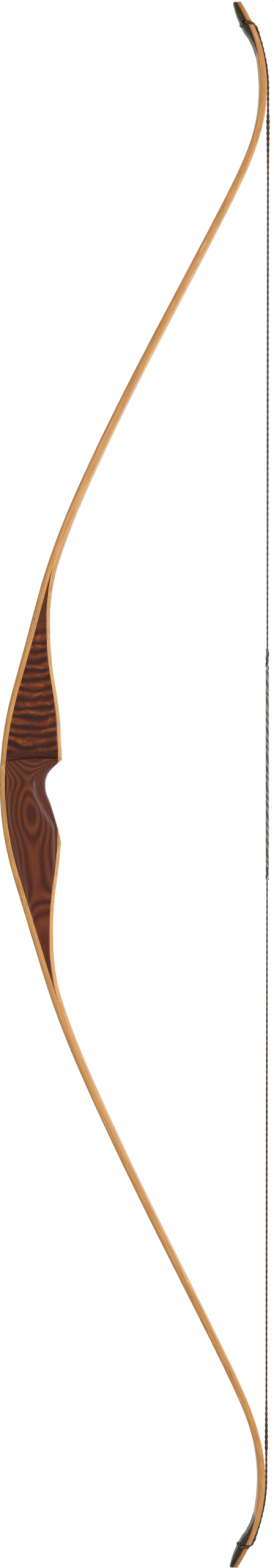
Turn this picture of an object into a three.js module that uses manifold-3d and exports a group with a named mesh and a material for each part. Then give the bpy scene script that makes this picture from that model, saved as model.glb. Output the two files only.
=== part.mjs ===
// A one-piece laminated recurve bow for a right-handed archer, strung and at rest.
// Millimetres. +Z runs up along the bow, +X points from the target side to the string,
// and the sight window faces -Y. The origin is the deepest point of the grip's throat.
//
// Every wooden piece is placed by its reach, the distance from the middle of the grip
// along the back of the bow, its depth, from the back towards the string, and its
// distance across. Reaches above the middle are positive and those below are negative.

import * as THREE from "three";
import { mergeVertices } from "three/addons/utils/BufferGeometryUtils.js";
import Module from "manifold-3d";

const wasm = await Module();
wasm.setup();

// Reaches along the back, from the middle of the grip to the end of a limb
const limbRun = 792;
const riserCurveReach = 90;
const bendReach = 185;
const fadeReach = 210;
const flexReach = 330;

// Lengths measured back from the end of a limb
const recurveLength = 252;
const overlayLength = 50;
const tipAboveNock = 18.8;

// Angles of the back from upright, in degrees, where the two limbs differ
const upperAngles = { fade: 15.4, work: 27.8, tip: -26.5 };
const lowerAngles = { fade: 17, work: 26.7, tip: -27.5 };

// The lay-up: glass on both faces, a core under each, and glue lines between
const glass = 0.9;
const backCore = 4.5;
const bellyCore = 2.3;
const glueLine = 0.3;
const halfGlueLine = glueLine / 2;

// The riser
const riserDepth = 57.5;
const throatCut = 14.6;
const throatDepth = riserDepth - throatCut;
const gripReach = 72;
const gripWidth = 30;
const bellyRounding = 13.5;
const backRounding = 4.6;
const edgeRounding = 0.2;
const fadeTip = 0.4;

// The shelf and the sight window cut above it
const shelfHeight = 23.6;
const shelfDrop = 4.2;
const shelfFillet = 8.5;
const windowPastCentre = 2;
const windowSweepHeight = 126;
const windowSweepLength = 62;

// The limbs and their tips
const limbWidth = 43;
const tipVeneer = 0.6;
const overlay = 3.8;
const tipSlant = 7;
const recurveReach = limbRun - recurveLength;
const overlayReach = limbRun - overlayLength;
const nockReach = limbRun - tipAboveNock;

// The string: thin on the recurves, thick below them where its ends are spliced in, and pressed
// thin under its serving
const stringRadius = 1.15;
const spliceRadius = 2;
const spliceStart = 24;
const spliceSwell = 8;
const spliceLength = 145;
const spliceTaper = 40;
const seatedRadius = 1.3;
const loopRadius = 1.6;
const loopDrop = 15;
const servedRadius = 0.9;
const servingWall = 0.35;
const servingAbove = 106;
const servingBelow = 79;

// How finely curves are cut, and how far a cutter runs past what it cuts
const stationStep = 11;
const tipStationStep = 4.5;
const gripStationStep = 4;
const windowStationStep = 6;
const roundSteps = 6;
const spineSteps = 800;
const cordSides = 8;
const overrun = 20;

// Shares of the bend from the riser to the middle of the limb, and on round the recurve
const bendShares = [
  [0, 0.02], [0.085, 0.27], [0.18, 0.5], [0.28, 0.68], [0.38, 0.79], [0.61, 0.93], [0.83, 1], [1, 1],
];
const recurveShares = [
  [0, 0], [0.24, 0.02], [0.36, 0.065], [0.48, 0.19], [0.62, 0.42],
  [0.8, 0.715], [0.865, 0.86], [0.91, 0.97], [0.96, 1], [1, 1],
];

// Shares of the wood between the cores, along the fade, and of the grip carved into it
const rampShares = [
  [0, 1], [0.148, 1], [0.229, 0.945], [0.324, 0.87], [0.438, 0.705], [0.505, 0.572], [0.581, 0.422],
  [0.657, 0.302], [0.738, 0.195], [0.819, 0.1], [0.9, 0.042], [0.957, 0.014], [1, 0],
];
const gripShares = [
  [-1, 0.62], [-0.83, 0.6], [-0.69, 0.57], [-0.49, 0.45], [-0.29, 0.27], [-0.103, 0.025], [0, 0],
  [0.036, 0.005], [0.129, 0.11], [0.224, 0.36], [0.268, 0.56], [0.326, 0.78], [0.371, 0.966],
  [0.43, 1.25],
];
const gripWidthShares = [
  [-2, 1], [-1.88, 0.95], [-1.6, 0.45], [-1.45, 0.3], [-1.2, 0.22], [-0.95, 0.14], [-0.42, 0.36],
  [-0.15, 0.22], [0.02, 0.06], [0.12, 0.2], [0.25, 0.55], [0.33, 0.85], [0.4, 1],
];
const bellyRoundShares = [
  [-1.75, 0], [-1.4, 0.1], [-1, 0.22], [-0.75, 0.3], [-0.6, 0.4], [-0.35, 0.8],
  [-0.1, 1], [0.1, 1], [0.24, 0.45], [0.34, 0.05], [0.45, 0],
];
const backRoundShares = [
  [-2, 0], [-1.7, 0.3], [-1.3, 0.75], [-0.8, 1], [0.15, 1], [0.36, 0.8], [0.6, 0.3], [1, 0],
];
const crestShare = 0.53;
const shelfShares = [[-1.2, 1.25], [-1, 1], [-0.62, 0.38], [-0.3, 0.04], [0, 0], [0.35, 0.1], [0.6, 0.3]];
const rampStartShare = 0.25;

// Shares of the limb's width and of the thickness of the cores, from grip to tip
const widthShares = [
  [0, 1], [0.42, 1], [0.6, 0.9], [0.7, 0.79], [0.8, 0.645], [0.88, 0.52], [0.945, 0.42],
  [0.973, 0.375], [0.985, 0.34], [0.994, 0.27], [1, 0.17],
];
const backCoreShares = [
  [0, 0.78], [0.06, 0.84], [0.16, 1], [0.24, 1], [0.29, 0.87],
  [0.33, 0.78], [0.42, 0.7], [0.5, 0.63], [0.7, 0.58], [0.87, 0.55],
  [0.909, 0.5], [0.941, 0.37], [0.961, 0.28], [0.98, 0.22], [1, 0.2],
];
const bellyCoreShares = [
  [0, 1], [0.24, 1], [0.33, 0.91], [0.5, 0.83], [0.7, 0.78], [0.87, 0.75],
  [0.909, 0.66], [0.941, 0.5], [0.961, 0.39], [0.98, 0.32], [1, 0.3],
];
const overlayShares = [
  [0, 0.03], [0.088, 0.11], [0.175, 0.22], [0.29, 0.43], [0.377, 0.8], [0.44, 0.98],
  [0.53, 1], [0.63, 1], [0.72, 0.93], [0.82, 0.72], [0.895, 0.45], [1, 0.15],
];

// The cord of a string loop, from the middle of the tip's back, down one side and under the belly:
// shares of its drop along the limb, of the way from back to belly, and of the tip's half width
const loopShares = [
  [0, 0, 0], [0, 0.08, 0.72], [0.03, 0.25, 1], [0.17, 0.56, 1],
  [0.37, 0.86, 0.82], [0.7, 1, 0.5], [1, 1, 0.24],
];

// A smooth curve through the points of a table that never swings past them
function curveThrough(points) {
  const rises = points.slice(1).map(([at, value], i) => (value - points[i][1]) / (at - points[i][0]));
  const slopes = points.map((point, i) => {
    const before = rises[i - 1] ?? rises[i];
    const after = rises[i] ?? rises[i - 1];
    return before * after <= 0 ? 0 : (2 * before * after) / (before + after);
  });
  return (at) => {
    let i = 0;
    while (i < points.length - 2 && at > points[i + 1][0]) i += 1;
    const span = points[i + 1][0] - points[i][0];
    const t = THREE.MathUtils.clamp((at - points[i][0]) / span, 0, 1);
    const lift = (t * t * (3 - 2 * t)) * (points[i + 1][1] - points[i][1]);
    const swing = t * (1 - t) * ((1 - t) * slopes[i] - t * slopes[i + 1]) * span;
    return points[i][1] + lift + swing;
  };
}

const bendCurve = curveThrough(bendShares);
const recurveCurve = curveThrough(recurveShares);
const rampCurve = curveThrough(rampShares);
const gripCurve = curveThrough(gripShares);
const gripWidthCurve = curveThrough(gripWidthShares);
const bellyRoundCurve = curveThrough(bellyRoundShares);
const backRoundCurve = curveThrough(backRoundShares);
const shelfCurve = curveThrough(shelfShares);
const widthCurve = curveThrough(widthShares);
const backCoreCurve = curveThrough(backCoreShares);
const bellyCoreCurve = curveThrough(bellyCoreShares);
const overlayCurve = curveThrough(overlayShares);

// Half of the bow: the back's curve, added up from its angle, and a way to place points on it
function halfBow(side, angles) {
  function angleAt(reach) {
    let angle = angles.fade * Math.min(1, reach / riserCurveReach);
    if (reach > recurveReach) {
      const share = recurveCurve((reach - recurveReach) / (limbRun - recurveReach));
      angle = angles.work + (angles.tip - angles.work) * share;
    } else if (reach > bendReach) {
      const share = bendCurve((reach - bendReach) / (recurveReach - bendReach));
      angle = angles.fade + (angles.work - angles.fade) * share;
    }
    return THREE.MathUtils.degToRad(angle);
  }
  const step = limbRun / spineSteps;
  const spine = [new THREE.Vector2(-throatDepth, 0)];
  for (let i = 0; i < spineSteps; i += 1) {
    const angle = angleAt((i + 0.5) * step);
    spine.push(new THREE.Vector2(Math.sin(angle), Math.cos(angle)).multiplyScalar(step).add(spine[i]));
  }
  function place(reach, depth, across = 0) {
    const i = THREE.MathUtils.clamp(Math.floor(reach / step), 0, spineSteps);
    const past = reach - i * step;
    const angle = angleAt(Math.min(reach, limbRun));
    const x = spine[i].x + past * Math.sin(angle) + depth * Math.cos(angle);
    const z = spine[i].y + past * Math.cos(angle) - depth * Math.sin(angle);
    return new THREE.Vector3(x, across, side * z);
  }
  return { side, angleAt, place };
}

const upper = halfBow(1, upperAngles);
const lower = halfBow(-1, lowerAngles);
const placeOnBow = (reach, depth, across) =>
  (reach < 0 ? lower : upper).place(Math.abs(reach), depth, across);

// Depths from the back of the bow to each face of the lay-up
const backCoreAt = (reach) => backCore * backCoreCurve(Math.abs(reach) / limbRun);
const bellyCoreAt = (reach) => bellyCore * bellyCoreCurve(Math.abs(reach) / limbRun);
const layUpAt = (reach) => 2 * (glass + glueLine) + backCoreAt(reach) + bellyCoreAt(reach);
const rampHeight = riserDepth - layUpAt(0) - glueLine;
const depths = {
  back: () => 0,
  backGlass: () => glass,
  backCoreTop: () => glass + glueLine,
  backCore: (reach) => glass + glueLine + backCoreAt(reach),
  woodTop: (reach) => glass + 2 * glueLine + backCoreAt(reach),
  belly: (reach) => layUpAt(reach) + glueLine + rampHeight * rampCurve(Math.abs(reach) / fadeReach),
  bellyGlass: (reach) => depths.belly(reach) - glass,
  bellyCoreTop: (reach) => depths.belly(reach) - glass - glueLine,
  bellyCore: (reach) => depths.bellyCoreTop(reach) - bellyCoreAt(reach),
  wood: (reach) => depths.bellyCore(reach) - glueLine,
  grip: (reach) => throatDepth + (riserDepth - throatDepth) * gripCurve(reach / gripReach),
};

// Half of the width: at the crest of the riser's side, and at its rounded back and belly
function halfWidthAt(reach) {
  const limb = (limbWidth / 2) * widthCurve(Math.abs(reach) / limbRun);
  const grip = gripWidth / 2;
  return grip + (limb - grip) * (limb > grip ? gripWidthCurve(reach / gripReach) : 1);
}

const backRoundAt = (reach) => backRounding * backRoundCurve(reach / gripReach);
const bellyRoundAt = (reach) => bellyRounding * bellyRoundCurve(reach / gripReach);
const backHalfWidthAt = (reach) => halfWidthAt(reach) - backRoundAt(reach);
const bellyHalfWidthAt = (reach) => halfWidthAt(reach) - bellyRoundAt(reach);

// Evenly spaced reaches from one end to the other, at most one step apart
function stations(from, to, step) {
  const count = Math.ceil(Math.abs(to - from) / step);
  return Array.from({ length: count + 1 }, (unused, i) => from + ((to - from) * i) / count);
}

// Stations along a limb, closer together where the tip is shaped
function limbStations(from, to) {
  if (to <= overlayReach) return stations(from, to, stationStep);
  if (from >= overlayReach) return stations(from, to, tipStationStep);
  const plain = stations(from, overlayReach, stationStep).slice(0, -1);
  return [...plain, ...stations(overlayReach, to, tipStationStep)];
}

// A closed solid through a row of outlines, each a list of points with as many corners
function loft(rings, closed = false) {
  const sides = rings[0].length;
  const positions = rings.flat().flatMap((point) => point.toArray());
  const faces = [];
  const spans = closed ? rings.length : rings.length - 1;
  for (let i = 0; i < spans; i += 1) {
    const next = ((i + 1) % rings.length) * sides;
    for (let j = 0; j < sides; j += 1) {
      const k = (j + 1) % sides;
      faces.push([i * sides + j, i * sides + k, next + k], [i * sides + j, next + k, next + j]);
    }
  }
  if (!closed) {
    const last = (rings.length - 1) * sides;
    for (const [a, b, c] of capFaces(rings[0])) faces.push([c, b, a]);
    for (const [a, b, c] of capFaces(rings[rings.length - 1])) faces.push([last + a, last + b, last + c]);
  }
  const geometry = new THREE.BufferGeometry();
  geometry.setAttribute("position", new THREE.Float32BufferAttribute(positions, 3));
  geometry.setIndex(faces.flat());
  return volumeOf(geometry) < 0 ? turnedOut(geometry) : geometry;
}

// Triangles that close an outline, drawn flat in the plane that it fills best
function capFaces(ring) {
  const normal = new THREE.Vector3();
  ring.forEach((point, i) => normal.add(point.clone().cross(ring[(i + 1) % ring.length])));
  normal.normalize();
  const first = ring[0].clone().sub(ring[Math.floor(ring.length / 2)]).normalize();
  const second = normal.clone().cross(first);
  const flat = ring.map((point) => new THREE.Vector2(point.dot(first), point.dot(second)));
  return THREE.ShapeUtils.triangulateShape(flat, []);
}

function volumeOf(geometry) {
  const points = geometry.getAttribute("position");
  const corners = geometry.index.array;
  const [a, b, c] = [new THREE.Vector3(), new THREE.Vector3(), new THREE.Vector3()];
  let volume = 0;
  for (let i = 0; i < corners.length; i += 3) {
    a.fromBufferAttribute(points, corners[i]);
    b.fromBufferAttribute(points, corners[i + 1]);
    c.fromBufferAttribute(points, corners[i + 2]);
    volume += a.dot(b.cross(c)) / 6;
  }
  return volume;
}

function turnedOut(geometry) {
  const corners = Array.from(geometry.index.array);
  for (let i = 0; i < corners.length; i += 3) [corners[i], corners[i + 1]] = [corners[i + 1], corners[i]];
  geometry.setIndex(corners);
  return geometry;
}

// Cuts made with manifold-3d, from geometry to geometry
function solidOf(geometry) {
  const bare = geometry.clone();
  bare.deleteAttribute("normal");
  bare.deleteAttribute("uv");
  const merged = mergeVertices(bare);
  const vertProperties = new Float32Array(merged.getAttribute("position").array);
  const triVerts = new Uint32Array(merged.index.array);
  return new wasm.Manifold(new wasm.Mesh({ numProp: 3, vertProperties, triVerts }));
}

function cut(geometry, ...cutters) {
  const solid = cutters.reduce((left, cutter) => left.subtract(solidOf(cutter)), solidOf(geometry));
  const { vertProperties, triVerts } = solid.getMesh();
  const result = new THREE.BufferGeometry();
  result.setAttribute("position", new THREE.Float32BufferAttribute(vertProperties, 3));
  result.setIndex(Array.from(triVerts));
  return result;
}

// A round cord through points, whose radius may change along it
function cord(points, radii, closed = false) {
  const count = closed ? points.length : points.length - 1;
  const along = (i) => {
    const before = closed ? points[(i - 1 + points.length) % points.length] : points[Math.max(0, i - 1)];
    const after = closed ? points[(i + 1) % points.length] : points[Math.min(count, i + 1)];
    return after.clone().sub(before).normalize();
  };
  const rings = points.map((point, i) => {
    const forward = along(i);
    const sideways = new THREE.Vector3(0, 1, 0).cross(forward);
    if (closed) sideways.copy(forward).cross(ringNormal(points));
    sideways.normalize();
    const upward = forward.clone().cross(sideways);
    const radius = Array.isArray(radii) ? radii[i] : radii;
    return Array.from({ length: cordSides }, (unused, j) => {
      const turn = (2 * Math.PI * j) / cordSides;
      const offset = sideways.clone().multiplyScalar(radius * Math.cos(turn));
      return point.clone().add(offset).addScaledVector(upward, radius * Math.sin(turn));
    });
  });
  return loft(rings, closed);
}

// The direction that a closed loop faces
function ringNormal(points) {
  const normal = new THREE.Vector3();
  points.forEach((point, i) => normal.add(point.clone().cross(points[(i + 1) % points.length])));
  return normal.normalize();
}

const bow = new THREE.Group();

function addPiece(name, geometry, material) {
  const mesh = new THREE.Mesh(geometry, material);
  mesh.name = name;
  bow.add(mesh);
  return mesh;
}

const finish = (color, roughness) => new THREE.MeshStandardMaterial({ color, roughness, metalness: 0 });
const riserWood = finish(0x5e2b1a, 0.35);
const limbWood = finish(0xc98d4d, 0.4);
const clearGlass = finish(0xd9b483, 0.25);
const horn = finish(0x33332d, 0.35);
const darkVeneer = finish(0x4a2410, 0.4);
const stringFibre = finish(0x3f2a1e, 0.8);
const servingThread = finish(0x6d6d66, 0.7);

// The shelf and sight window: one cutter, swept from the back of the bow to the belly
function shelfHeightAt(x) {
  return shelfHeight - shelfDrop * shelfCurve(x / throatDepth);
}

function windowOutline(floor) {
  const outside = -limbWidth / 2 - overrun;
  const outline = [new THREE.Vector2(outside, floor)];
  const filletSteps = 5;
  for (let i = 0; i <= filletSteps; i += 1) {
    const turn = (Math.PI / 2) * (i / filletSteps);
    const across = windowPastCentre - shelfFillet * (1 - Math.sin(turn));
    outline.push(new THREE.Vector2(across, floor + shelfFillet * (1 - Math.cos(turn))));
  }
  const sweepSteps = 8;
  const sweepEnd = -limbWidth / 2 - glueLine;
  for (let i = 0; i <= sweepSteps; i += 1) {
    const share = (1 - Math.cos((Math.PI * i) / sweepSteps)) / 2;
    const height = windowSweepHeight + (windowSweepLength * i) / sweepSteps;
    outline.push(new THREE.Vector2(windowPastCentre + (sweepEnd - windowPastCentre) * share, height));
  }
  outline.push(new THREE.Vector2(outside, windowSweepHeight + windowSweepLength));
  return outline;
}

const windowCutter = loft(
  stations(-throatDepth - overrun / 2, riserDepth - throatDepth + overrun, windowStationStep).map((x) =>
    windowOutline(shelfHeightAt(x)).map((corner) => new THREE.Vector3(x, corner.x, corner.y)),
  ),
);

// The carved grip, as a cutter for the lay-up that ends at it
const gripTop = gripReach * gripShares[gripShares.length - 1][0];
const gripCutter = (() => {
  const reaches = stations(-gripReach, gripTop, gripStationStep / 2);
  const outline = reaches.map((reach) => [reach, depths.grip(reach)]);
  outline.push([gripTop, riserDepth + overrun], [-gripReach, riserDepth + overrun]);
  return loft([-1, 1].map((side) =>
    outline.map(([reach, depth]) => placeOnBow(reach, depth, side * (limbWidth / 2 + overrun))),
  ));
})();

// The cord of a string loop, half sunk in the groove that it lies in over the back and the sides
function loopPoints(half) {
  const overBack = -(tipVeneer + overlay + 2 * glueLine);
  const onBelly = depths.belly(nockReach) + loopRadius + glueLine;
  const mirrored = loopShares.slice(1).reverse().map(([drop, through, aside]) => [drop, through, -aside]);
  const corners = [...loopShares, ...mirrored].map(([drop, through, aside]) => half.place(
    nockReach - loopDrop * drop,
    overBack + (onBelly - overBack) * through,
    halfWidthAt(nockReach) * aside,
  ));
  const route = new THREE.CatmullRomCurve3(corners, true, "centripetal");
  return route.getPoints(3 * corners.length).slice(0, -1);
}

// A block beyond the end of a limb, which cuts the tip level where the bow stands strung
function levelEnd(half) {
  const corner = half.place(limbRun, depths.belly(limbRun));
  const block = new THREE.BoxGeometry(2 * overrun, 2 * overrun, overrun);
  return block.translate(corner.x, 0, corner.z + (half.side * overrun) / 2);
}

// A strip of the lay-up between two depths, as wide as the back or the belly is there
function strip(reaches, top, bottom, widthAt) {
  return loft(reaches.map((reach) => {
    const width = widthAt(reach);
    return [
      placeOnBow(reach, top(reach), -width),
      placeOnBow(reach, bottom(reach), -width),
      placeOnBow(reach, bottom(reach), width),
      placeOnBow(reach, top(reach), width),
    ];
  }));
}

// The reach between two others where a falling size passes a value
function reachWhere(valueAt, value, low, high) {
  let [near, far] = [low, high];
  for (let i = 0; i < 40; i += 1) {
    const middle = (near + far) / 2;
    if (valueAt(middle) > value) near = middle;
    else far = middle;
  }
  return near;
}

// Half of an outline round the riser: from the back, over the crest of its side, to the belly
function sideOf(reach, side) {
  const back = depths.woodTop(reach);
  const belly = Math.min(depths.wood(reach), depths.grip(reach));
  const crestDepth = back + (belly - back) * crestShare;
  const crest = halfWidthAt(reach);
  const backRound = edgeRounding + backRoundAt(reach);
  const bellyRound = edgeRounding + bellyRoundAt(reach);
  return Array.from({ length: 2 * roundSteps + 1 }, (unused, i) => {
    const turn = (Math.PI / 2) * (i / roundSteps - 1);
    const round = turn < 0 ? backRound : bellyRound;
    const depth = crestDepth + Math.sin(turn) * (turn < 0 ? crestDepth - back : belly - crestDepth);
    return placeOnBow(reach, depth, side * (crest - round * (1 - Math.cos(turn))));
  });
}

const riserRing = (reach) => [...sideOf(reach, -1), ...sideOf(reach, 1).reverse()];

const woodDepthAt = (reach) => depths.wood(reach) - depths.woodTop(reach);
const woodEnd = reachWhere(woodDepthAt, fadeTip, bendReach / 2, fadeReach);
const riserReaches = [
  ...stations(-woodEnd, -gripReach, stationStep).slice(0, -1),
  ...stations(-gripReach, gripTop, gripStationStep).slice(0, -1),
  ...stations(gripTop, woodEnd, stationStep),
];
addPiece("riser", cut(loft(riserReaches.map(riserRing)), windowCutter), riserWood);

// The back lay-up runs over the whole riser: one strip of glass on two cores that meet in the middle
const riserEnd = flexReach - halfGlueLine;
const backGlassRun = strip(
  stations(-riserEnd, riserEnd, stationStep), depths.back, depths.backGlass, backHalfWidthAt,
);
addPiece("back_glass_riser", cut(backGlassRun, windowCutter), clearGlass);

// The string lies on each recurve, and its straight run lies between the points where it leaves them
const seatDepth = (reach) => depths.belly(reach) + glueLine + seatedRadius;
const leaveReach = (half) => reachWhere(half.angleAt, 0, recurveReach, limbRun);
const joinReach = nockReach - loopDrop - loopRadius - seatedRadius - glueLine;

for (const [name, half] of [["upper", upper], ["lower", lower]]) {
  const s = half.side;
  const signed = (reaches) => reaches.map((reach) => s * reach);
  const nockCutter = cord(loopPoints(half), loopRadius + glueLine, true);
  const endCutter = levelEnd(half);
  const toEnd = (from) => signed(limbStations(from, limbRun + tipSlant));
  const tipPiece = (top, bottom, from) =>
    cut(strip(toEnd(from), top, bottom, halfWidthAt), nockCutter, endCutter);
  const limbStart = flexReach + halfGlueLine;
  const overRiser = signed(stations(halfGlueLine, riserEnd, stationStep));
  const onRamp = signed(stations(gripReach * rampStartShare, riserEnd, stationStep));

  const backCoreRun = strip(overRiser, depths.backCoreTop, depths.backCore, backHalfWidthAt);
  addPiece(`back_core_riser_${name}`, cut(backCoreRun, windowCutter), limbWood);
  const bellyCoreRun = strip(onRamp, depths.bellyCore, depths.bellyCoreTop, bellyHalfWidthAt);
  addPiece(`belly_core_ramp_${name}`, cut(bellyCoreRun, gripCutter, windowCutter), limbWood);
  const bellyGlassRun = strip(onRamp, depths.bellyGlass, depths.belly, bellyHalfWidthAt);
  addPiece(`belly_glass_ramp_${name}`, cut(bellyGlassRun, gripCutter, windowCutter), clearGlass);

  addPiece(`back_glass_${name}`, tipPiece(depths.back, depths.backGlass, limbStart), clearGlass);
  addPiece(`back_core_${name}`, tipPiece(depths.backCoreTop, depths.backCore, limbStart), limbWood);
  addPiece(`belly_core_${name}`, tipPiece(depths.bellyCore, depths.bellyCoreTop, limbStart), limbWood);
  addPiece(`belly_glass_${name}`, tipPiece(depths.bellyGlass, depths.belly, limbStart), clearGlass);

  const overlayShareAt = (reach) => (Math.abs(reach) - overlayReach) / (overlayLength + tipSlant);
  const veneerTop = () => -glueLine - tipVeneer;
  addPiece(`tip_veneer_${name}`, tipPiece(veneerTop, () => -glueLine, overlayReach), darkVeneer);
  const overlayFoot = () => -2 * glueLine - tipVeneer;
  const overlayTop = (reach) => overlayFoot() - overlay * overlayCurve(overlayShareAt(reach));
  addPiece(`tip_overlay_${name}`, tipPiece(overlayTop, overlayFoot, overlayReach), horn);
  addPiece(`string_loop_${name}`, cord(loopPoints(half), loopRadius, true), stringFibre);
}

// Each half of the string: off its loop, round the recurve, and straight to the middle
const leavePoint = (half) => half.place(leaveReach(half), seatDepth(leaveReach(half)));
const [upperLeave, lowerLeave] = [leavePoint(upper), leavePoint(lower)];
const stringPointAt = (height) =>
  lowerLeave.clone().lerp(upperLeave, (height - lowerLeave.z) / (upperLeave.z - lowerLeave.z));

for (const [name, half, servingEnd] of [["upper", upper, servingAbove], ["lower", lower, servingBelow]]) {
  const onLimb = stations(joinReach, leaveReach(half), stationStep / 2);
  const leaveHeight = Math.abs(leavePoint(half).z);
  const nockHeight = Math.abs(half.place(nockReach, seatDepth(nockReach)).z);
  const spliceEnd = nockHeight - spliceLength;
  const straight = [
    [leaveHeight - spliceStart, seatedRadius],
    [leaveHeight - spliceStart - spliceSwell, spliceRadius],
    [spliceEnd, spliceRadius],
    [spliceEnd - spliceTaper, stringRadius],
    [(spliceEnd - spliceTaper + servingEnd) / 2, stringRadius],
    [servingEnd + stringRadius, stringRadius],
    [servingEnd, servedRadius],
    [halfGlueLine, servedRadius],
  ];
  const points = [
    ...onLimb.map((reach) => half.place(reach, seatDepth(reach))),
    ...straight.map(([height]) => stringPointAt(half.side * height)),
  ];
  const radii = [...onLimb.map(() => seatedRadius), ...straight.map(([, radius]) => radius)];
  addPiece(`string_${name}`, cord(points, radii), stringFibre);

  const ends = [halfGlueLine, servingEnd].map((height) => stringPointAt(half.side * height));
  const bore = [-overrun, servingEnd + overrun].map((height) => stringPointAt(half.side * height));
  const sleeve = cord(ends, servedRadius + glueLine + servingWall);
  addPiece(`serving_${name}`, cut(sleeve, cord(bore, servedRadius + glueLine)), servingThread);
}

// Where the moving pieces turn: the limbs on their belly face, the string where its loops join
bow.userData.pivots = Object.fromEntries([["upper", upper], ["lower", lower]].map(([name, half]) => [name, {
  flex: half.place(flexReach, depths.belly(flexReach)).toArray(),
  nock: half.place(nockReach - loopDrop, seatDepth(nockReach - loopDrop)).toArray(),
  middle: stringPointAt(0).toArray(),
}]));

export default bow;
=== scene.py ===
# A laminated wooden recurve bow, strung and upright, on a pale floor in soft studio light.
# Metres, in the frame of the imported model: +Z runs up along the bow, +X points to the string.
import math

import bpy
import numpy as np
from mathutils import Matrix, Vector


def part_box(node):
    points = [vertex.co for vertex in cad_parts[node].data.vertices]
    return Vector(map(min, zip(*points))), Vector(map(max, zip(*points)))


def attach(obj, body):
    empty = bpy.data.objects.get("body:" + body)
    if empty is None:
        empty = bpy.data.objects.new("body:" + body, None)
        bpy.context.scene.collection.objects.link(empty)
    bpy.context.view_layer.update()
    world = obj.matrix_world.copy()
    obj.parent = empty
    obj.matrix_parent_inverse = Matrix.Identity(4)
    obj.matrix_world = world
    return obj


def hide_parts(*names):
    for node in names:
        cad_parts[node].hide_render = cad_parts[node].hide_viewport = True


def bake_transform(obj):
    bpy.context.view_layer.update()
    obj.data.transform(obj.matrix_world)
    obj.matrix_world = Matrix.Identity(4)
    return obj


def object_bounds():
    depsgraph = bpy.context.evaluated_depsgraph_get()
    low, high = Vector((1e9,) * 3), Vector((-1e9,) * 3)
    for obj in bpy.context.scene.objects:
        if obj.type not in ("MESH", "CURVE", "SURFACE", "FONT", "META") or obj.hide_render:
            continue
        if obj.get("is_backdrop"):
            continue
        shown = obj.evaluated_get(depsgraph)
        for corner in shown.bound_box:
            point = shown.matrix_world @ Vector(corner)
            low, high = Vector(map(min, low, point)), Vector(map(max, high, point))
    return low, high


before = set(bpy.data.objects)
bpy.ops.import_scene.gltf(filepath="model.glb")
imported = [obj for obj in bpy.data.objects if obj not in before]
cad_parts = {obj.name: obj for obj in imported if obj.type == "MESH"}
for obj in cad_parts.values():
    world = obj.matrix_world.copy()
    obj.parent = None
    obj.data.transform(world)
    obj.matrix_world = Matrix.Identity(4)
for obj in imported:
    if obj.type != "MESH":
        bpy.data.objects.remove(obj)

cad_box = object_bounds()


# Camera. It stands level with the grip on the side of the sight window, far enough off that
# the tall picture holds the whole bow, and is turned a little towards the string.
picture_height_px = 2560
metres_per_px = 0.000579
camera_distance = 2.55
camera_x = -0.0093
aim_x = 0.0869

turn_to_string = math.atan((aim_x - camera_x) / camera_distance)
sight_line = camera_distance / math.cos(turn_to_string)
bpy.ops.object.camera_add(
    location=(camera_x, -camera_distance, 0), rotation=(math.pi / 2, 0, -turn_to_string)
)
camera = bpy.context.object
camera.data.angle = 2 * math.atan(picture_height_px * metres_per_px / 2 / sight_line)
bpy.context.scene.camera = camera
bpy.context.scene.view_settings.view_transform = "Standard"


# Riser. One block of dark reddish hardwood, bandsawn to its outline, carved by rasp to a grip
# with crowned sides, cut away past its middle for the shelf and sight window, and varnished.
glue_line = 0.0003
wood_bond = glue_line / 2
weld_gap = 0.00002
crisp_corner = math.radians(35)

layer = 0.0016
layer_sway = 0.0012
layer_sway_size = (0.02, 0.02, 0.045)
layer_tone_size = (0.2, 0.003, 0.3)
knot_place = (-0.0127, -0.0135, -0.029)
knot_size = (0.022, 1, 0.1)
knot_layers = 1.9
knot_shift = 0.0006

ripple_length = 0.009
ripple_middle = -0.013
ripple_reach = 0.02
ripple_sag = 0.0028
ripple_sway = 0.011
ripple_sway_size = (0.03, 0.03, 0.016)
ripple_tone_size = (0.03, 0.03, 0.03)
sheen_amber_size = (0.012, 0.02, 0.006)
riser_fibre_size = (0.0011, 0.0011, 0.03)
pore_size = (0.0005, 0.0005, 0.005)

# Y, then Z, over which the ripple of the window, the painted shade in the fillet under it and the even
# wood of the upper fade come in or go out.
window_near_side = (-0.009, -0.004)
window_far_side = (0.008, 0.004)
window_foot = (0.026, 0.033)
fillet_shade_foot = (0.022, 0.026)
fillet_shade_top = (0.034, 0.029)
upper_fade = (0.13, 0.17)

light_layer = "#8C4C28"
heartwood = "#74371A"
brown_layer = "#511F0C"
dark_layer = "#2E0D04"
even_layer = "#602C17"
ripple_light = "#8C4413"
ripple_brown = "#5E260B"
ripple_dark = "#2C0A02"
ripple_shade = "#4E1D0A"
sheen_amber = "#B06A26"
fade_wood = "#672C14"
fibre_tint = "#D6CFCB"
varnish_tint = "#F8DFB4"
pore_tint = "#C2A08C"
untinted = "#FFFFFF"


def colour(code):
    """The linear colour of a hex code that was picked on a screen."""
    channels = [int(code[i:i + 2], 16) / 255 for i in (1, 3, 5)]
    linear = [c / 12.92 if c <= 0.04045 else ((c + 0.055) / 1.055) ** 2.4 for c in channels]
    return (*linear, 1)


def edit(piece, select="SELECT", mode="VERT"):
    """Opens one piece alone in edit mode."""
    bpy.ops.object.select_all(action="DESELECT")
    piece.select_set(True)
    bpy.context.view_layer.objects.active = piece
    bpy.ops.object.mode_set(mode="EDIT")
    bpy.ops.mesh.select_mode(type=mode)
    bpy.ops.mesh.select_all(action=select)


def done():
    bpy.ops.object.mode_set(mode="OBJECT")


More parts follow.
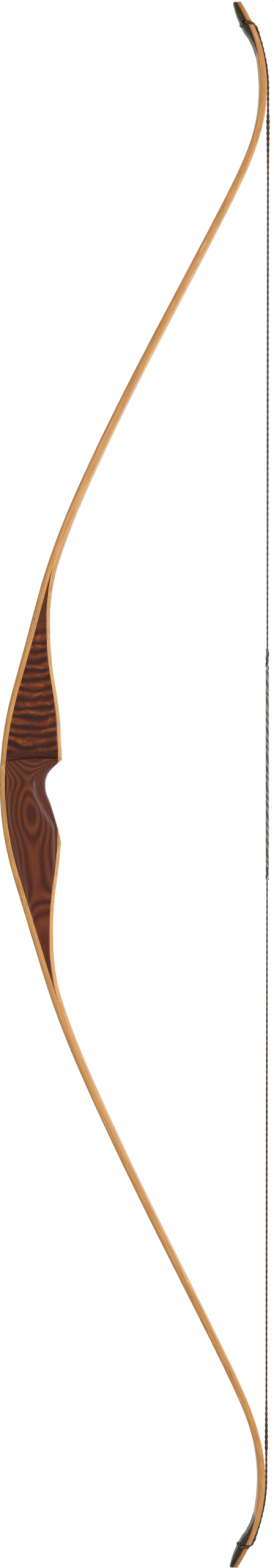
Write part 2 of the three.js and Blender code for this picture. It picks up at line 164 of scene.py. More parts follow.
def choose(piece, mode, test):
    """Opens a piece in edit mode with only those elements selected for which test says yes."""
    edit(piece, "DESELECT", mode)
    done()
    kinds = {"VERT": piece.data.vertices, "EDGE": piece.data.edges, "FACE": piece.data.polygons}
    for element in kinds[mode]:
        element.select = bool(test(element))
    bpy.ops.object.mode_set(mode="EDIT")


def looks_out(face, way):
    """Whether a face looks to the belly (way 1) or to the back (way -1)."""
    return abs(face.normal.y) < 0.3 and way * face.normal.x > 0.8


def thicken(piece, way, amount):
    """Moves a piece's faces that look to the belly (way 1) or the back (way -1) outwards."""
    choose(piece, "FACE", lambda face: looks_out(face, way))
    bpy.ops.transform.shrink_fatten(value=amount)
    done()


def merged_copy(name, *nodes):
    """A new piece with the welded shape of one or more CAD nodes, its triangles paired to quads."""
    bpy.ops.object.select_all(action="DESELECT")
    for node in nodes:
        part = bpy.data.objects.new(name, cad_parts[node].data.copy())
        bpy.context.collection.objects.link(part)
        part.select_set(True)
        bpy.context.view_layer.objects.active = part
    if len(nodes) > 1:
        bpy.ops.object.join()
    piece = bpy.context.view_layer.objects.active
    piece.name = name
    piece.data.materials.clear()
    edit(piece)
    bpy.ops.mesh.customdata_custom_splitnormals_clear()
    bpy.ops.mesh.remove_doubles(threshold=weld_gap)
    bpy.ops.mesh.tris_convert_to_quads(
        face_threshold=math.radians(30), shape_threshold=math.radians(60)
    )
    done()
    return piece


def refine(piece, crease, levels):
    """Rounds a piece off with a subdivision surface that holds on to its corners."""
    edit(piece, "DESELECT", "EDGE")
    bpy.ops.mesh.edges_select_sharp(sharpness=crisp_corner)
    bpy.ops.transform.edge_crease(value=crease)
    done()
    finer = piece.modifiers.new("finer", "SUBSURF")
    finer.levels = finer.render_levels = levels
    bpy.ops.object.modifier_apply(modifier=finer.name)
    bpy.ops.object.shade_smooth_by_angle(angle=crisp_corner)


def make(tree, kind, feeds=(), **settings):
    """A node of a finish. Its feeds are values or other nodes' outputs, in order or by name."""
    node = tree.nodes.new("ShaderNode" + kind)
    for name, value in settings.items():
        setattr(node, name, value)
    for place, feed in feeds.items() if isinstance(feeds, dict) else enumerate(feeds):
        if isinstance(feed, bpy.types.NodeSocket):
            tree.links.new(feed, node.inputs[place])
        elif feed is not None:
            node.inputs[place].default_value = feed
    return node


def calc(tree, operation, *feeds):
    return make(tree, "Math", feeds, operation=operation).outputs[0]


def between(tree, value, low, high, at_low=0, at_high=1):
    """Where value lies between low and high, smoothed."""
    feeds = (value, low, high, at_low, at_high)
    return make(tree, "MapRange", feeds, interpolation_type="SMOOTHSTEP").outputs[0]


def wave(tree, way, length, swing):
    """Swings round one half, once for each length of the way."""
    turns = calc(tree, "MULTIPLY", way, 2 * math.pi / length)
    return calc(tree, "MULTIPLY_ADD", calc(tree, "COSINE", turns), swing, 0.5)


def mottle(tree, place, periods, detail=2, distortion=0):
    """Soft noise whose patches are about as long as the periods, in metres, each way."""
    spread = make(tree, "Mapping", {"Vector": place, "Scale": [1 / p for p in periods]})
    feeds = {"Vector": spread.outputs[0], "Scale": 1, "Detail": detail, "Distortion": distortion}
    return make(tree, "TexNoise", feeds).outputs[0]


def blend_colours(tree, amount, first, second, mode="MIX"):
    mix = make(tree, "Mix", data_type="RGBA", blend_type=mode)
    for place, feed in zip((0, 6, 7), (amount, first, second)):
        if isinstance(feed, bpy.types.NodeSocket):
            tree.links.new(feed, mix.inputs[place])
        else:
            mix.inputs[place].default_value = colour(feed) if isinstance(feed, str) else feed
    return mix.outputs[2]


def ramp(tree, value, stops):
    """A colour ramp through stops, a list of places and hex codes."""
    node = make(tree, "ValToRGB", (value,))
    elements = node.color_ramp.elements
    while len(elements) < len(stops):
        elements.new(0.5)
    for element, (place, code) in zip(elements, stops):
        element.position = place
        element.color = colour(code)
    return node.outputs[0]


def tinted(tree, tone, tints):
    """A tone darkened by tints, as by fine fibres in the wood."""
    return blend_colours(tree, 1.0, tone, tints, "MULTIPLY")


def new_finish(name, roughness, specular, coat=0, coat_roughness=0.1):
    """A bare finish with its gloss set, ready for a colour."""
    finish = bpy.data.materials.new(name)
    finish.use_nodes = True
    shader = finish.node_tree.nodes["Principled BSDF"]
    shader.inputs["Roughness"].default_value = roughness
    shader.inputs["Specular IOR Level"].default_value = specular
    shader.inputs["Coat Weight"].default_value = coat
    shader.inputs["Coat Roughness"].default_value = coat_roughness
    return finish, finish.node_tree, shader


def ringed_wood(tree, place, axes):
    """Thin layers parallel to the bow's side, which the carving cuts into rings and ovals. They
    swell round a knot under the grip."""
    knot = {"Vector": place, "Location": [-c / s for c, s in zip(knot_place, knot_size)],
            "Scale": [1 / s for s in knot_size]}
    from_knot = make(tree, "VectorMath", (make(tree, "Mapping", knot).outputs[0],), operation="LENGTH")
    swell = knot_shift + knot_layers * layer
    dome = between(tree, from_knot.outputs["Value"], 0, 1, knot_shift, swell)
    sway = mottle(tree, place, layer_sway_size)
    across = calc(tree, "ADD", calc(tree, "MULTIPLY_ADD", sway, layer_sway, axes[1]), dome)
    stops = [(0.0, dark_layer), (0.22, brown_layer), (0.6, heartwood), (1.0, light_layer)]
    rings = ramp(tree, wave(tree, across, layer, -0.5), stops)
    each_layer = mottle(tree, place, layer_tone_size, detail=1)
    return blend_colours(tree, between(tree, each_layer, 0.35, 0.7, 0.05, 0.55), rings, even_layer)


def rippled_wood(tree, place, axes):
    """The ripple of the wood, sagging aside from the middle of the window, with amber patches of
    painted sheen on its light bands.
    """
    aside = calc(tree, "DIVIDE", calc(tree, "SUBTRACT", axes[0], ripple_middle), ripple_reach)
    sag = calc(tree, "MULTIPLY", calc(tree, "POWER", calc(tree, "ABSOLUTE", aside), 2.0), -ripple_sag)
    sway = mottle(tree, place, ripple_sway_size)
    height = calc(tree, "ADD", calc(tree, "MULTIPLY_ADD", sway, ripple_sway, axes[2]), sag)
    ripple = wave(tree, height, ripple_length, 0.5)
    tone = ramp(tree, ripple, [(0.12, ripple_dark), (0.6, ripple_brown), (1.0, ripple_light)])
    patches = mottle(tree, place, ripple_tone_size, detail=1)
    tone = blend_colours(tree, between(tree, patches, 0.35, 0.65, 0.45, 0), tone, ripple_shade)
    # Painted sheen: amber patches on the ripple's light bands stand in for the shimmer of the figured
    # wood.
    glow = mottle(tree, place, sheen_amber_size, detail=3, distortion=0.6)
    painted_sheen = calc(tree, "MULTIPLY", between(tree, glow, 0.48, 0.7), ripple)
    return blend_colours(tree, painted_sheen, tone, sheen_amber)


def riser_wood():
    """Rings all over, but deep in the window, where the cut runs along one layer, the ripple
    across it. Both have fine fibres and pores under a tinted varnish."""
    finish, tree, shader = new_finish(
        "riser_wood", roughness=0.5, specular=0.05, coat=0.4, coat_roughness=0.27
    )
    place = make(tree, "TexCoord").outputs["Object"]
    axes = make(tree, "SeparateXYZ", (place,)).outputs
    in_window = between(tree, axes[1], *window_near_side)
    in_window = calc(tree, "MULTIPLY", in_window, between(tree, axes[1], *window_far_side))
    in_window = calc(tree, "MULTIPLY", in_window, between(tree, axes[2], *window_foot))
    ringed = ringed_wood(tree, place, axes)
    rippled = rippled_wood(tree, place, axes)
    tone = blend_colours(tree, in_window, ringed, rippled)
    tone = blend_colours(tree, between(tree, axes[2], *upper_fade, 0, 0.9), tone, fade_wood)
    # Painted shade: the concave fillet between the shelf and the window is darkened towards the darkest
    # layer colour.
    above_fillet_shade_foot = between(tree, axes[2], *fillet_shade_foot)
    painted_fillet_shade = calc(tree, "MULTIPLY", above_fillet_shade_foot, between(tree, axes[2], *fillet_shade_top))
    tone = blend_colours(tree, calc(tree, "MULTIPLY", painted_fillet_shade, 0.6), tone, dark_layer)

    fibres = mottle(tree, place, riser_fibre_size, detail=3)
    tone = tinted(tree, tone, ramp(tree, fibres, [(0.3, fibre_tint), (0.7, untinted)]))
    pores = mottle(tree, place, pore_size, detail=1)
    tone = tinted(tree, tone, ramp(tree, pores, [(0.66, varnish_tint), (0.76, pore_tint)]))
    tree.links.new(tone, shader.inputs["Base Color"])
    return finish


riser = merged_copy("riser_carved", "riser")
for way in (-1, 1):
    thicken(riser, way, wood_bond)
refine(riser, crease=0.85, levels=2)
riser.data.materials.append(riser_wood())
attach(riser, "riser")
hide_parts("riser")


# Cores. Strips of pale wood, tapered and pressed round a form: a thick one along the back of the
# bow, and a thin one on its belly that climbs the ramps of the riser. Glue closes their faces.
sides = {"upper": 1, "lower": -1}
glass_thickness = 0.0009
glass_bond = glue_line * 0.95
flex_reach = 0.33
joint_zone = 0.001
joint_weld = glue_line * 1.2

# Depths below the back, then reaches along it, over which one tone of the wood becomes the next.
back_depths = (0.0005, 0.0045)
belly_depths = (0.0045, 0.0075)
outer_reach = (0.5, 0.75)
tip_reach = (0.755, 0.795)
limb_depth = 0.0086
band_size = (0.12, 0.0016, 0.0012)
core_fibre_size = (0.03, 0.0005, 0.0006)

core_at_back = "#C8935A"
core_middle = "#EBAA66"
core_light = "#F6C084"
core_orange = "#E29F56"
core_tip = "#B5793C"
dark_band = "#C08A4E"
pale_band = "#F7C88E"
core_fibre_tint = "#D3C9BC"


def edge_of_back():
    """Points along the back, from the lower tip to the upper one, read off the back's glass."""
    points = []
    for node in ("back_glass_lower", "back_glass_riser", "back_glass_upper"):
        corners = {tuple(round(c, 6) for c in v.co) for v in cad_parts[node].data.vertices}
        corners = [Vector(c) for c in corners if c[1] > 0]
        for top in corners:
            for foot in corners:
                level = abs(top.y - foot.y) < glass_thickness / 100 and top.x < foot.x
                if level and abs((foot - top).length - glass_thickness) < glass_thickness / 20:
                    points.append((top.x, top.z))
    points.sort(key=lambda point: point[1])
    apart = [i for i in range(len(points)) if i == 0 or points[i][1] - points[i - 1][1] > wood_bond]
    return np.array([points[i] for i in apart])


# Every lamination follows the curve of the back, so a point on one is also known by its reach
# along the back from the middle of the grip, and by its depth below the back.
back = edge_of_back()
back_steps = np.linalg.norm(np.diff(back, axis=0), axis=1)
back_reach = np.concatenate([[0], np.cumsum(back_steps)])
back_reach -= np.interp(0, back[:, 1], back_reach)


def corners_of(piece):
    co = np.zeros(len(piece.data.vertices) * 3)
    piece.data.vertices.foreach_get("co", co)
    return co.reshape(-1, 3)


def on_the_bow(piece):
    """Reach, distance across and depth of each of a piece's vertices."""
    points = corners_of(piece)
    flat = points[:, [0, 2]]
    middles = (back[:-1] + back[1:]) / 2
    nearest = ((flat[:, None, :] - middles[None]) ** 2).sum(2)
    segment = np.argmin(nearest, axis=1)
    run = (back[1:] - back[:-1])[segment]
    offset = flat - back[:-1][segment]
    reach = back_reach[segment] + (offset * run).sum(1) / back_steps[segment]
    depth = (offset[:, 0] * run[:, 1] - offset[:, 1] * run[:, 0]) / back_steps[segment]
    return np.stack([reach, points[:, 1], depth], axis=1)


def note_lay(piece, places):
    """Stores places that the grain or twist of a piece follows, however the piece bends later."""
    lay = piece.data.attributes.new("lay", "FLOAT_VECTOR", "POINT")
    lay.data.foreach_set("vector", places.astype(np.float32).ravel())


def at_joint(strip):
    """Which of a strip's vertices lie where its riser's half meets its limb's."""
    reach = np.abs(on_the_bow(strip)[:, 0])
    return np.abs(reach - flex_reach) < joint_zone


def whole_strip(name, side, riser_node, limb_node):
    """A strip from the grip to the tip: the riser's and the limb's halves of it in one piece."""
    strip = merged_copy(name, riser_node, limb_node)
    edit(strip)
    bpy.ops.mesh.bisect(
        plane_co=(0, 0, 0), plane_no=(0, 0, sides[side]), clear_inner=True, use_fill=True
    )
    done()
    meets = at_joint(strip)
    choose(strip, "FACE", lambda face: all(meets[v] for v in face.vertices))
    bpy.ops.mesh.delete(type="ONLY_FACE")
    done()
    meets = at_joint(strip)
    choose(strip, "VERT", lambda vertex: meets[vertex.index])
    bpy.ops.mesh.remove_doubles(threshold=joint_weld)
    done()
    for vertex in strip.data.vertices:
        if abs(vertex.co.z) < glue_line:
            vertex.co.z = 0
    return strip


def depths_of_face(strip, lay, way):
    """How deep a strip's face to the belly (way 1) or the back (way -1) lies at each vertex's reach."""
    faces = [face for face in strip.data.polygons if looks_out(face, way)]
    outer = sorted({(lay[v][0], lay[v][2]) for face in faces for v in face.vertices})
    return np.interp(lay[:, 0], [reach for reach, depth in outer], [depth for reach, depth in outer])


def finish_strip(strip, side, finish, slot, *nodes):
    """Smooths a strip, notes its lay along its ramp and gives it its finish."""
    refine(strip, crease=1, levels=2)
    lay = on_the_bow(strip)
    lay[:, 2] -= np.maximum(depths_of_face(strip, lay, 1) - limb_depth, 0)
    note_lay(strip, lay)
    strip.data.materials.append(finish)
    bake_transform(strip)
    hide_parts(*nodes)


def lay_of(tree):
    return make(tree, "Attribute", attribute_name="lay").outputs["Vector"]


def limb_grain(tree):
    """The colour of the limbs' wood: darker near the back, redder near the tips, with bands and
    fibres along the strip."""
    lay = lay_of(tree)
    parts = make(tree, "SeparateXYZ", (lay,)).outputs
    reach = calc(tree, "ABSOLUTE", parts[0])
    tone = blend_colours(tree, between(tree, parts[2], *back_depths), core_at_back, core_middle)
    tone = blend_colours(tree, between(tree, parts[2], *belly_depths), tone, core_light)
    tone = blend_colours(tree, between(tree, reach, *outer_reach, 0, 0.6), tone, core_orange)
    tone = blend_colours(tree, between(tree, reach, *tip_reach, 0, 0.6), tone, core_tip)
    bands = mottle(tree, lay, band_size, detail=3)
    tone = blend_colours(tree, between(tree, bands, 0.52, 0.72, 0, 0.8), tone, dark_band)
    tone = blend_colours(tree, between(tree, bands, 0.48, 0.3, 0, 0.5), tone, pale_band)
    fibres = mottle(tree, lay, core_fibre_size)
    return tinted(tree, tone, ramp(tree, fibres, [(0.3, core_fibre_tint), (0.7, untinted)]))


def core_wood():
    finish, tree, shader = new_finish("limb_wood", roughness=0.45, specular=0.2)
    tree.links.new(limb_grain(tree), shader.inputs["Base Color"])
    return finish


core_finish = core_wood()
core_nodes = {"back_core": "back_core_riser", "belly_core": "belly_core_ramp"}
for side in sides:
    for limb_part, riser_part in core_nodes.items():
        nodes = (f"{riser_part}_{side}", f"{limb_part}_{side}")
        core = whole_strip(f"{limb_part}_strip_{side}", side, *nodes)
        towards_glass = -1 if limb_part == "back_core" else 1
        thicken(core, towards_glass, glass_bond)
        thicken(core, -towards_glass, wood_bond)
        finish_strip(core, side, core_finish, "limb_wood", *nodes)


# Glass. Clear unidirectional glass laminate on the back and the belly, glued over the cores, with
# its outer edges sanded round. The wood shows through it, a little greyed by the fibres, and its
# colour also holds painted shade, darker on the back's glass, and painted light, paler on the belly's.
glass_rows = 3
edge_radius = 0.00085
veil_and_light_share = 0.4
back_haze_and_shade = "#977A4E"
belly_haze_and_light = "#F2CC9A"


def rows_down_the_side(strip):
    """Divides the thickness of a strip, so that its sides can be rounded."""
    lay = on_the_bow(strip)

    def runs_down(edge):
        change = np.abs(lay[edge.vertices[0]] - lay[edge.vertices[1]])
        return change[0] < change[2] / 2 and change[1] < change[2] / 2

    choose(strip, "EDGE", runs_down)
    bpy.ops.mesh.subdivide(number_cuts=glass_rows)
    done()


def round_outer_edges(strip, way):
    """Draws in the sides of a strip next to its outer face, which looks to the belly or the back."""
    lay = on_the_bow(strip)
    below = np.clip(np.abs(depths_of_face(strip, lay, way) - lay[:, 2]), 0, edge_radius)
    inset = edge_radius - np.sqrt(edge_radius ** 2 - (edge_radius - below) ** 2)
    for vertex in strip.data.vertices:
        if abs(vertex.normal.y) > 0.2:
            vertex.co.y -= math.copysign(inset[vertex.index], vertex.normal.y)


def clear_glass():
    finish, tree, shader = new_finish("clear_glass", roughness=0.3, specular=0.035)
    depth = make(tree, "SeparateXYZ", (lay_of(tree),)).outputs[2]
    on_belly = between(tree, depth, glass_thickness, 2 * glass_thickness)
    # Painted shade and light: the back's glass is veiled darker and the belly's paler, as the light
    # falls on the two edges.
    haze_and_shading = blend_colours(tree, on_belly, back_haze_and_shade, belly_haze_and_light)
    veiled_and_shaded = blend_colours(tree, veil_and_light_share, limb_grain(tree), haze_and_shading)
    tree.links.new(veiled_and_shaded, shader.inputs["Base Color"])
    return finish


glass_finish = clear_glass()
for side in sides:
    sheets = (("back_glass", -1, "back_glass_riser"), ("belly_glass", 1, f"belly_glass_ramp_{side}"))
    for name, way, riser_node in sheets:
        nodes = (riser_node, f"{name}_{side}")
        sheet = whole_strip(f"{name}_strip_{side}", side, *nodes)
        rows_down_the_side(sheet)
        round_outer_edges(sheet, way)
        finish_strip(sheet, side, glass_finish, "clear_glass", *nodes)


# Tip veneers. A thin dark leaf glued on the back's glass at each tip, under the overlay, and filed
# away to nothing at its inner end together with it.
veneer_bond = glue_line * 0.8
feather_length = 0.014
feather_power = 0.7
feather_end = 0.06
veneer_fibre_size = (0.02, 0.0006, 0.0006)
veneer_dark = "#261006"
veneer_light = "#42200E"


def veneer_wood():
    finish, tree, shader = new_finish("dark_veneer", roughness=0.4, specular=0.3)
    fibres = mottle(tree, lay_of(tree), veneer_fibre_size, detail=3)
    tone = ramp(tree, fibres, [(0.3, veneer_dark), (0.7, veneer_light)])
    tree.links.new(tone, shader.inputs["Base Color"])
    return finish


def feather(piece):
    """Files the inner end of a piece on the back of a tip down to nothing."""
    lay = on_the_bow(piece)
    past_end = (np.abs(lay[:, 0]) - np.abs(lay[:, 0]).min()) / feather_length
    left = np.clip(past_end, feather_end, 1) ** feather_power
    segment = np.clip(np.searchsorted(back_reach, lay[:, 0]) - 1, 0, len(back_steps) - 1)
    run = (back[1:] - back[:-1])[segment] / back_steps[segment][:, None]
    for vertex, (along, up), down in zip(piece.data.vertices, run, lay[:, 2] * (left - 1)):
        vertex.co.x += up * down
        vertex.co.z -= along * down


def finish_tip(piece, side, finish, node):
    note_lay(piece, on_the_bow(piece))
    piece.data.materials.append(finish)
    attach(piece, f"{side}_limb")
    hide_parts(node)


veneer_finish = veneer_wood()
for side in sides:
    veneer = merged_copy(f"veneer_leaf_{side}", f"tip_veneer_{side}")
    for way in (-1, 1):
        thicken(veneer, way, veneer_bond)
    feather(veneer)
    refine(veneer, crease=1, levels=1)
    finish_tip(veneer, side, veneer_finish, f"tip_veneer_{side}")


# Tip overlays. A leaf of dark horn-like laminate on the back of each tip, filed to a rounded ridge
# with the string's groove across it, and polished.
overlay_grain = 0.0003
overlay_step = 0.0012
ridge_share = 0.45
file_strokes = 4
cloud_size = (0.02, 0.004, 0.003)
scratch_size = (0.008, 0.0004, 0.0004)
horn_dark = "#221F12"
horn_olive = "#36311E"
horn_grey = "#4C4632"
scratch_tint = "#C9C6BC"


def horn():
    finish, tree, shader = new_finish("horn_overlay", roughness=0.36, specular=0.2)
    lay = lay_of(tree)
    clouds = mottle(tree, lay, cloud_size, detail=3)
    tone = ramp(tree, clouds, [(0.3, horn_dark), (0.55, horn_olive), (0.75, horn_grey)])
    scratches = mottle(tree, lay, scratch_size)
    tone = tinted(tree, tone, ramp(tree, scratches, [(0.35, untinted), (0.75, scratch_tint)]))
    tree.links.new(tone, shader.inputs["Base Color"])
    return finish


def outline_of(piece):
    """The reaches and depths of the outermost corners of a piece."""
    lay = on_the_bow(piece)
    reach = np.abs(lay[:, 0])
    places = np.unique(np.round(reach, 3))
    return places, [lay[np.abs(reach - place) < overlay_step, 2].min() for place in places]


def file_round(overlay, outline):
    """Narrows an overlay towards its back, so that its section becomes a rounded ridge."""
    lay = on_the_bow(overlay)
    foot = lay[:, 2].max()
    top = np.interp(np.abs(lay[:, 0]), *outline)
    height = np.clip((foot - lay[:, 2]) / np.maximum(foot - top, overlay_grain), 0, 1)
    narrowing = 1 - ridge_share * (1 - np.sqrt(1 - height ** 2))
    for vertex, share in zip(overlay.data.vertices, narrowing):
        vertex.co.y *= share


horn_finish = horn()
for side in sides:
    overlay = merged_copy(f"overlay_leaf_{side}", f"tip_overlay_{side}")
    outline = outline_of(overlay)
    grain = overlay.modifiers.new("grain", "REMESH")
    grain.mode = "VOXEL"
    grain.voxel_size = overlay_grain
    bpy.context.view_layer.objects.active = overlay
    bpy.ops.object.modifier_apply(modifier=grain.name)
    file_round(overlay, outline)
    feather(overlay)
    edit(overlay)
    bpy.ops.mesh.vertices_smooth(factor=0.5, repeat=file_strokes)
    done()
    bpy.ops.object.shade_smooth()
    finish_tip(overlay, side, horn_finish, f"tip_overlay_{side}")


# String loops. Each end of the string is laid back into itself, which leaves a loop of two twisted
# plies that lies in the groove round the tip.
loop_radius = 0.0016
ply_pitch = 0.0108
ply_sides = 18
ply_steps = 14
waist_share = 0.14
strand_size = (0.0006, 0.0006, 0.006)
wax_size = (0.002, 0.002, 0.012)
strand_dark = "#24180E"
strand_brown = "#47301D"
strand_light = "#705337"
wax = "#7D6A55"


def centre_line(name, node, radius):
    """The line that a closed CAD cord follows, found by shrinking the cord on to it."""
    line = merged_copy(name, node)
    edit(line)
    bpy.ops.transform.shrink_fatten(value=-radius)
    bpy.ops.mesh.remove_doubles(threshold=radius / 2)
    done()
    bpy.ops.object.convert(target="CURVE")
    return bpy.context.view_layer.objects.active


def length_of(line):
    points = [point.co.xyz for point in line.data.splines[0].points]
    ends = points[1:] + points[:1] if line.data.splines[0].use_cyclic_u else points[1:]
    return sum((b - a).length for a, b in zip(points, ends))


def twisted_cord(name, line, radius, finish):
    """Two plies twisted into a cord of that radius, along a line whose own radii swell or thin it."""
    length = length_of(line)
    turns = max(1, round(length / ply_pitch))
    bpy.ops.object.select_all(action="DESELECT")
    bpy.ops.mesh.primitive_circle_add(vertices=ply_sides, radius=radius, fill_type="NOTHING")
    cord = bpy.context.object
    cord.name = name
    for vertex in cord.data.vertices:
        turn = math.atan2(vertex.co.y, vertex.co.x)
        vertex.co.xy *= 1 - waist_share * (1 - math.cos(2 * turn))
    lay = cord.modifiers.new("lay", "SCREW")
    lay.axis = "Z"
    lay.angle = 2 * math.pi
    lay.screw_offset = length / turns
    lay.iterations = turns
    lay.steps = lay.render_steps = ply_steps
    bpy.ops.object.modifier_apply(modifier=lay.name)
    note_lay(cord, corners_of(cord))
    course = cord.modifiers.new("course", "CURVE")
    course.object = line
    course.deform_axis = "POS_Z"
    bpy.ops.object.modifier_apply(modifier=course.name)
    edit(cord)
    if line.data.splines[0].use_cyclic_u:
        bpy.ops.mesh.remove_doubles(threshold=radius / 10)
    else:
        bpy.ops.mesh.select_all(action="DESELECT")
        bpy.ops.mesh.select_non_manifold()
        bpy.ops.mesh.edge_face_add()
        bpy.ops.mesh.select_all(action="SELECT")
    bpy.ops.mesh.normals_make_consistent(inside=False)
    done()
    bpy.data.objects.remove(line)
    bpy.ops.object.select_all(action="DESELECT")
    cord.select_set(True)
    bpy.context.view_layer.objects.active = cord
    bpy.ops.object.shade_smooth()
    cord.data.materials.append(finish)
    return cord


def string_fibre():
    finish, tree, shader = new_finish("waxed_string", roughness=0.55, specular=0.3)
    lay = lay_of(tree)
    strands = mottle(tree, lay, strand_size, detail=3)
    tone = ramp(tree, strands, [(0.3, strand_dark), (0.5, strand_brown), (0.72, strand_light)])
    waxed = mottle(tree, lay, wax_size)
    tone = blend_colours(tree, between(tree, waxed, 0.55, 0.75, 0, 0.5), tone, wax)
    tree.links.new(tone, shader.inputs["Base Color"])
    return finish


string_finish = string_fibre()
for side in sides:
    line = centre_line(f"loop_line_{side}", f"string_loop_{side}", loop_radius)
    loop = twisted_cord(f"twisted_loop_{side}", line, loop_radius, string_finish)
    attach(loop, f"{side}_limb")
    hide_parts(f"string_loop_{side}")


# String. The same two plies, thick where the ends are spliced in below the loops and lying on the
# recurves there, then thin and straight to the middle, where each half meets the other.
string_radius = 0.00115
ring_gap = 0.0009
ply_share = 0.88
splice_taper_early = 0.045
splice_start_length = 0.03
end_in_loop = 0.004


def string_line(name, node):
    """A curve through the middles of a CAD string's rings, with their radii."""
    corners = {tuple(round(c, 6) for c in v.co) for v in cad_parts[node].data.vertices}
    corners = [Vector(corner) for corner in sorted(corners, key=lambda corner: -abs(corner[2]))]
    rings = [corners[:1]]
    for corner in corners[1:]:
        if abs(rings[-1][-1].z) - abs(corner.z) > ring_gap:
            rings.append([])
        rings[-1].append(corner)
    middles = [sum(ring, Vector()) / len(ring) for ring in rings]
    spreads = [[(corner - middle).length for corner in ring] for middle, ring in zip(middles, rings)]
    radii = [sum(spread) / len(spread) for spread in spreads]
    heights = np.abs([middle.z for middle in middles])
    tapered = np.minimum(radii, np.interp(heights - splice_taper_early, heights[::-1], radii[::-1]))
    from_loop = (heights[0] - heights) / splice_start_length
    tapered = np.maximum(tapered, loop_radius / ply_share * (1 - from_loop))
    middles[0] += (middles[0] - middles[1]).normalized() * end_in_loop
    curve = bpy.data.curves.new(name, "CURVE")
    curve.dimensions = "3D"
    spline = curve.splines.new("POLY")
    spline.points.add(len(rings) - 1)
    for point, middle, radius in zip(spline.points, middles, tapered):
        point.co = (*middle, 1)
        point.radius = ply_share * radius / string_radius
    line = bpy.data.objects.new(name, curve)
    bpy.context.collection.objects.link(line)
    return line


for side, sign in sides.items():
    line = string_line(f"string_line_{side}", f"string_{side}")
    string = twisted_cord(f"twisted_string_{side}", line, string_radius, string_finish)
    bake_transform(string)
    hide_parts(f"string_{side}")


# Serving. A tight grey thread of light and dark fibres, wound round the middle of the string where
# the arrow and the fingers go. Three loose tails of thread wind on past each of its ends.
thread_width = 0.00065
thread_height = 0.0005
thread_sides = 6
thread_steps = 12
streaks_round = 2
streak_lead = 0.018
streak_slip = 0.03
slip_size = (1, 1, 0.02)
speck_size = (0.0007, 0.0007, 0.0009)
tail_lengths = {"upper": 0.022, "lower": 0.012}
tail_lead = 0.021
tail_radius = 0.00062
tail_swell = 0.00108

serving_low, serving_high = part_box("serving_upper")
serving_x = (serving_low.x + serving_high.x) / 2
serving_radius = (serving_high.y - serving_low.y) / 2


def serving_thread(name, light, dark):
    """Fibres of two shades, whose twist comes out as long streaks that wind up the serving."""
    finish, tree, shader = new_finish(name, roughness=0.6, specular=0.2)
    place = make(tree, "TexCoord").outputs["Object"]
    axes = make(tree, "SeparateXYZ", (place,)).outputs
    angle = calc(tree, "ARCTAN2", axes[1], calc(tree, "SUBTRACT", axes[0], serving_x))
    climb = calc(tree, "MULTIPLY_ADD", mottle(tree, place, slip_size), streak_slip, axes[2])
    winding = calc(tree, "MULTIPLY_ADD", climb, 2 * math.pi * streaks_round / streak_lead,
                   calc(tree, "MULTIPLY", angle, streaks_round))
    streak = calc(tree, "MULTIPLY_ADD", calc(tree, "SINE", winding), 0.25, 0.25)
    shade = calc(tree, "MULTIPLY_ADD", mottle(tree, place, speck_size), 0.5, streak)
    tree.links.new(ramp(tree, shade, [(0.25, dark), (0.75, light)]), shader.inputs["Base Color"])
    return finish


def thread_outline(name, radius, upright, place, flatten=1):
    """A small circle beside the axis that a thread winds round, level or upright."""
    bpy.ops.object.select_all(action="DESELECT")
    bpy.ops.mesh.primitive_circle_add(vertices=thread_sides, radius=radius, fill_type="NOTHING",
                                      rotation=(math.pi / 2 if upright else 0, 0, 0))
    bpy.ops.object.transform_apply(location=True, rotation=True, scale=True)
    thread = bpy.context.object
    thread.name = name
    for vertex in thread.data.vertices:
        vertex.co.x = vertex.co.x * flatten + place
    return thread


def wind(thread, foot, way, length, lead, first_turn, finish):
    """Sweeps a thread's outline round the string, from its foot and with that lead for each turn."""
    turns = length / lead
    helix = thread.modifiers.new("helix", "SCREW")
    helix.axis = "Z"
    helix.angle = 2 * math.pi * turns
    helix.screw_offset = length
    helix.steps = helix.render_steps = round(thread_steps * max(turns, 2))
    bpy.ops.object.modifier_apply(modifier=helix.name)
    edit(thread, "DESELECT", "EDGE")
    bpy.ops.mesh.select_non_manifold()
    bpy.ops.mesh.fill_holes(sides=0)
    bpy.ops.mesh.select_all(action="SELECT")
    bpy.ops.mesh.normals_make_consistent(inside=False)
    done()
    thread.location = foot
    thread.rotation_mode = "QUATERNION"
    thread.rotation_quaternion = way.to_track_quat("Z", "X")
    bpy.ops.object.transform_apply(location=True, rotation=True, scale=True)
    edit(thread)
    bpy.ops.transform.rotate(value=first_turn, orient_axis="Z", center_override=foot)
    done()
    bpy.ops.object.shade_smooth()
    thread.data.materials.append(finish)


wound_thread = serving_thread("wound_thread", "#A8A89E", "#4E4F47")
tail_threads = {
    "first": (0, serving_thread("light_tail", "#D2D2C8", "#85857A")),
    "second": (2 * math.pi / 3, serving_thread("dark_tail", "#5C5D54", "#26271F")),
    "third": (4 * math.pi / 3, serving_thread("grey_tail", "#A9A99E", "#6A6A60")),
}
for side, sign in sides.items():
    low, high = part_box(f"serving_{side}")
    foot = Vector((serving_x, 0, 0))
    way = Vector((0, 0, sign))
    length = max(high.z, -low.z)
    thread = thread_outline(f"serving_thread_{side}", thread_width / 2, True,
                            serving_radius - thread_height / 2, thread_height / thread_width)
    wind(thread, foot, way, length, thread_width, 0, wound_thread)
    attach(thread, f"{side}_string")
    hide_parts(f"serving_{side}")
    for name, (turn, finish) in tail_threads.items():
        tail = thread_outline(f"serving_{name}_tail_{side}", tail_radius, False, tail_swell)
        wind(tail, foot + way * length, way, tail_lengths[side], tail_lead, turn, finish)
        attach(tail, f"{side}_string")


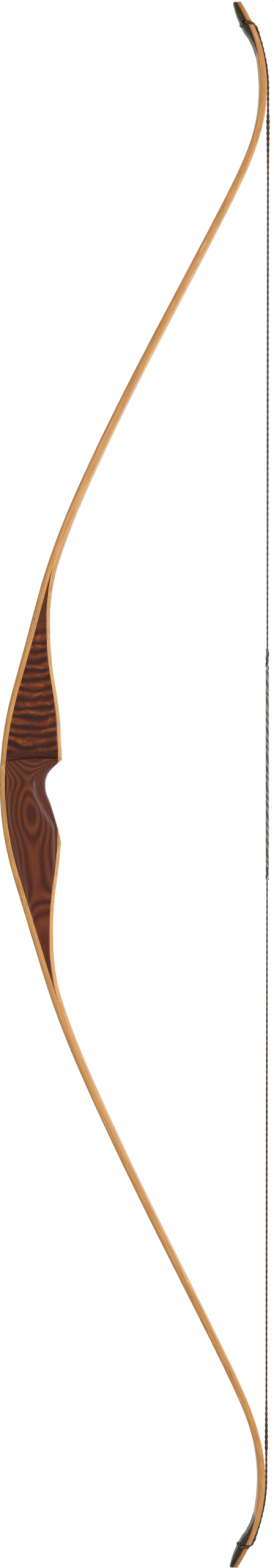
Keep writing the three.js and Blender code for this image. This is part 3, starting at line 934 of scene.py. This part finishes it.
# Floor and light. A pale floor under the lower tip, two wide soft lamps at the sides and an even
# white surround, as in a light tent. Floor and surround show white to the camera and in gloss.
floor_gap = 0.0005
floor_size = 60
floor_grey = 0.8
floor_glow = 0.6
surround = 0.6
lamp_width = 0.4
lamp_height = 1.6


def seen_or_mirrored(tree):
    """One for rays from the camera, off gloss or through glass."""
    rays = make(tree, "LightPath").outputs
    first = calc(tree, "MAXIMUM", rays["Is Camera Ray"], rays["Is Glossy Ray"])
    return calc(tree, "MAXIMUM", first, rays["Is Transmission Ray"])


world = bpy.data.worlds.new("surround")
bpy.context.scene.world = world
world.use_nodes = True
sky = world.node_tree
shares = {0: seen_or_mirrored(sky), 2: surround, 3: 1.0}
strength = make(sky, "Mix", shares, data_type="FLOAT").outputs[0]
sky.links.new(strength, sky.nodes["Background"].inputs["Strength"])
sky.nodes["Background"].inputs["Color"].default_value = (1, 1, 1, 1)

bpy.ops.object.select_all(action="DESELECT")
bpy.ops.mesh.primitive_plane_add(size=floor_size, location=(0, 0, cad_box[0].z - floor_gap))
floor = bpy.context.object
floor.name = "floor"
paper, tree, shader = new_finish("pale_floor", roughness=0.9, specular=0)
shader.inputs["Base Color"].default_value = (floor_grey, floor_grey, floor_grey, 1)
shader.inputs["Emission Color"].default_value = (1, 1, 1, 1)
glow = calc(tree, "MULTIPLY", seen_or_mirrored(tree), floor_glow)
tree.links.new(glow, shader.inputs["Emission Strength"])
floor.data.materials.append(paper)
floor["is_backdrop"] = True


def soft_lamp(name, place, power):
    """A tall soft lamp that faces the middle of the bow and isn't seen itself."""
    bpy.ops.object.light_add(type="AREA", location=place)
    lamp = bpy.context.object
    lamp.name = name
    lamp.rotation_mode = "QUATERNION"
    lamp.rotation_quaternion = (-Vector(place)).to_track_quat("-Z", "Y")
    lamp.data.shape = "RECTANGLE"
    lamp.data.size = lamp_width
    lamp.data.size_y = lamp_height
    lamp.data.energy = power
    lamp.visible_camera = False


soft_lamp("right_lamp", (1.45, -1.85, 0.5), 18)
soft_lamp("left_lamp", (-1.7, -1.5, 0.2), 9.5)

low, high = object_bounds()
